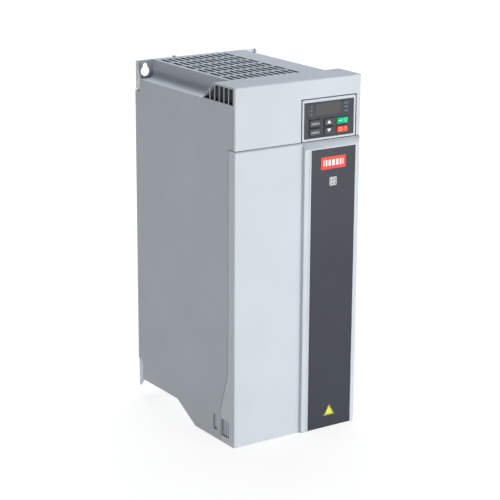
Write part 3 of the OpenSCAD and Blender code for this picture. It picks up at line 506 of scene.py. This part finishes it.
def triangle_border():
    """A thin dark border inside the edge of the yellow triangle."""
    lo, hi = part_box("triangle_label")
    middle_x = (lo.x + hi.x) / 2
    middle_z = lo.z + (hi.z - lo.z) / 3

    def scaled(factor):
        corners = ((lo.x, lo.z), (hi.x, lo.z), (middle_x, hi.z))
        return [(middle_x + (x - middle_x) * factor, middle_z + (z - middle_z) * factor) for x, z in corners]

    outer, inner = scaled(0.93), scaled(0.8)
    bands = [[outer[i], outer[(i + 1) % 3], inner[(i + 1) % 3], inner[i]] for i in range(3)]
    shapes("triangle_border", bands, lo.y - INK, 2 * INK, "ink_dark", "cover")


pulse_mark()
code_blocks()
triangle_border()


# ---------------------------------------------------------------- display and lamps

DIGITS = 5
DIGIT_PITCH = 5.3
DIGIT_HALF_W, DIGIT_HALF_H = 1.65, 3.1
STROKE = 0.7
LAMP_HEIGHT = 1.9
LAMP_DEPTH = 0.2 * MM
# offset from the display's middle and width in mm of both lamp columns, and the three heights
LAMP_COLUMNS = [(-23.6, 2.8), (25.0, 5.6)]
LAMP_ROWS = [4.4, -0.1, -4.6]


def display_segments():
    """Unlit segments and points of the five digits."""
    x, y, z = centre("segment_display")
    strokes = []
    for place in range(DIGITS):
        digit_x = x + (place - DIGITS // 2) * DIGIT_PITCH * MM
        strokes += [bar(digit_x, z + k * DIGIT_HALF_H * MM, 2.4, STROKE) for k in (-1, 0, 1)]
        strokes += [bar(digit_x + side * DIGIT_HALF_W * MM, z + end * DIGIT_HALF_H / 2 * MM, STROKE, 2.3)
                    for side in (-1, 1) for end in (-1, 1)]
        strokes.append(bar(digit_x + 2.5 * MM, z - DIGIT_HALF_H * MM, 0.6, 0.6, 0.25))
    shapes("display_segments", strokes, y - INK, 2 * INK, "segment", "keypad")


def lamp_lenses():
    """Six lenses on the keypad's face, three on each side of the display."""
    x, y, z = centre("segment_display")
    face_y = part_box("keypad_face")[0].y
    lenses = [bar(x + dx * MM, z + dz * MM, width, LAMP_HEIGHT, 0.4)
              for dx, width in LAMP_COLUMNS for dz in LAMP_ROWS]
    shapes("lamp_lenses", lenses, face_y - INK, LAMP_DEPTH, "lamp_lens", "keypad")


display_segments()
lamp_lenses()


# ---------------------------------------------------------------- louvre mesh as painted shade

# black mesh behind the louvres of both ears, put there as painted shade for the dark inside of the casing:
# its outer face, layers and wires
MESH_X = 81.2 * MM
LAYER = 0.4 * MM
WIRE = 0.9 * MM
WIRE_PITCH = 1.25 * MM
SHORTEST_WIRE = 1.0 * MM
MESH_HEIGHT = 17.2 * MM
# gaps from the casing's top and from the front cover's front to the mesh and to its rear corner
MESH_TOP, MESH_FRONT, MESH_REAR = 3.5 * MM, 4.2 * MM, 64.5 * MM
# the mesh ends along the ear's rear slope: depth over height
MESH_SLOPE = 24 / 21


def louvre_shade_mesh(side, sign):
    """Wires along Y in the outer layer and along Z in the inner one, cut off at the rear slope."""
    top_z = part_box("main_housing")[1].z - MESH_TOP
    front_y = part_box("upper_front_cover")[0].y
    low_z, low_y, foot_y = top_z - MESH_HEIGHT, front_y + MESH_FRONT, front_y + MESH_REAR
    bm = bmesh.new()

    def wire(layer, y0, y1, z0, z1):
        corners = [(y0, z0), (y1, z0), (y1, z1), (y0, z1)]
        outer, inner = ([(sign * (MESH_X - k * LAYER), y, z) for y, z in corners] for k in (layer, layer + 1))
        solid_between(bm, outer, inner)

    for k in range(int((top_z - low_z) / WIRE_PITCH)):
        z0 = low_z + k * WIRE_PITCH
        wire(0, low_y, foot_y - (z0 + WIRE - low_z) * MESH_SLOPE, z0, z0 + WIRE)
    for k in range(int((foot_y - low_y) / WIRE_PITCH)):
        y0 = low_y + k * WIRE_PITCH
        high_z = min(top_z, low_z + (foot_y - y0 - WIRE) / MESH_SLOPE)
        if high_z >= low_z + SHORTEST_WIRE:
            wire(1, y0, y0 + WIRE, low_z, high_z)
    bmesh.ops.recalc_face_normals(bm, faces=bm.faces)
    add_mesh("louvre_shade_mesh_" + side, bm, "black_plastic", "root")


louvre_shade_mesh("left", -1)
louvre_shade_mesh("right", 1)


# ---------------------------------------------------------------- floor and world

FLOOR_GAP = 0.2 * MM
FLOOR_HALF = 20
# the floor glows white away from the drive: strength near and far, and where each starts, in metres
GLOW_NEAR, GLOW_FAR = 0.865, 1.0
NEAR_RADIUS, FAR_RADIUS = 0.5, 1.8
WORLD_STRENGTH = 0.06


def floor_material():
    """Pale floor that is clear when seen from below."""
    t = Tree("floor_pale")
    away = t.add("ShaderNodeVectorMath", operation="LENGTH")
    t.link(t.coord, away.inputs[0])
    glow = t.span(away.outputs["Value"], GLOW_NEAR, GLOW_FAR, NEAR_RADIUS, FAR_RADIUS)
    t.set(Base_Color=t.mix(t.noise(3, 3), (0.2, 0.202, 0.204), (0.22, 0.222, 0.224)), Roughness=0.9,
          Emission_Color=(1.0, 1.0, 1.0), Emission_Strength=glow, Specular_IOR_Level=0.1)
    see_through = t.add("ShaderNodeMixShader")
    t.link(t.add("ShaderNodeNewGeometry").outputs["Backfacing"], see_through.inputs[0])
    t.link(t.shader.outputs["BSDF"], see_through.inputs[1])
    t.link(t.add("ShaderNodeBsdfTransparent").outputs["BSDF"], see_through.inputs[2])
    t.link(see_through.outputs["Shader"], t.out.inputs["Surface"])
    return t.material


bm = bmesh.new()
bmesh.ops.create_grid(bm, x_segments=2, y_segments=2, size=FLOOR_HALF)
mesh = bpy.data.meshes.new("floor")
bm.to_mesh(mesh)
bm.free()
floor = bpy.data.objects.new("floor", mesh)
floor.location = (0, 0, cad_box[0][2] - FLOOR_GAP)
scene.collection.objects.link(floor)
mesh.materials.append(floor_material())

world = bpy.data.worlds.new("studio")
scene.world = world
world.use_nodes = True
background = world.node_tree.nodes.get("Background") or world.node_tree.nodes.new("ShaderNodeBackground")
background.inputs["Color"].default_value = (0.93, 0.96, 1.0, 1)
background.inputs["Strength"].default_value = WORLD_STRENGTH


# ---------------------------------------------------------------- lights

def area(name, place, aim, size, power, color):
    """A rectangular light that the camera doesn't see."""
    light = bpy.data.lights.new(name, "AREA")
    light.shape = "RECTANGLE"
    light.size, light.size_y = size
    light.energy = power
    light.color = color
    obj = bpy.data.objects.new(name, light)
    scene.collection.objects.link(obj)
    obj.visible_camera = False
    obj.location = place
    obj.rotation_euler = (Vector(aim) - Vector(place)).to_track_quat("-Z", "Y").to_euler()


CENTRE = (0, -0.1, 0)
# the key light's aim, well below the drive
LOW_AIM = (0, -0.1, -2.9)
area("key", (0.7, -2.0, 0.2), LOW_AIM, (1.5, 0.8), 37, (0.98, 0.995, 1.0))
area("fill", (-1.5, -2.2, 0.9), CENTRE, (0.7, 0.7), 2, (0.97, 0.985, 1.0))
area("top", (0.6, 0.9, 2.2), CENTRE, (1.8, 1.8), 62, (0.92, 0.965, 1.0))


# ---------------------------------------------------------------- camera

# fitted to the photo's straight edges, in degrees, metres and mm
YAW, PITCH, ROLL = 33.744, 15.868, 0.309
PLACE = Vector((-1.0913, -1.7530, 0.5427))
LENS, SENSOR = 123.39, 36

yaw, pitch, roll = (math.radians(angle) for angle in (YAW, PITCH, ROLL))
forward = Vector((math.sin(yaw) * math.cos(pitch), math.cos(yaw) * math.cos(pitch), -math.sin(pitch)))
level = Vector((math.cos(yaw), -math.sin(yaw), 0))
above = level.cross(forward)
right = level * math.cos(roll) + above * math.sin(roll)
up = above * math.cos(roll) - level * math.sin(roll)
camera = bpy.data.objects.new("camera", bpy.data.cameras.new("camera"))
camera.data.lens = LENS
camera.data.sensor_width = SENSOR
camera.data.clip_end = 100
camera.matrix_world = Matrix((
    (right.x, up.x, -forward.x, PLACE.x), (right.y, up.y, -forward.y, PLACE.y),
    (right.z, up.z, -forward.z, PLACE.z), (0, 0, 0, 1)))
scene.collection.objects.link(camera)
scene.camera = camera
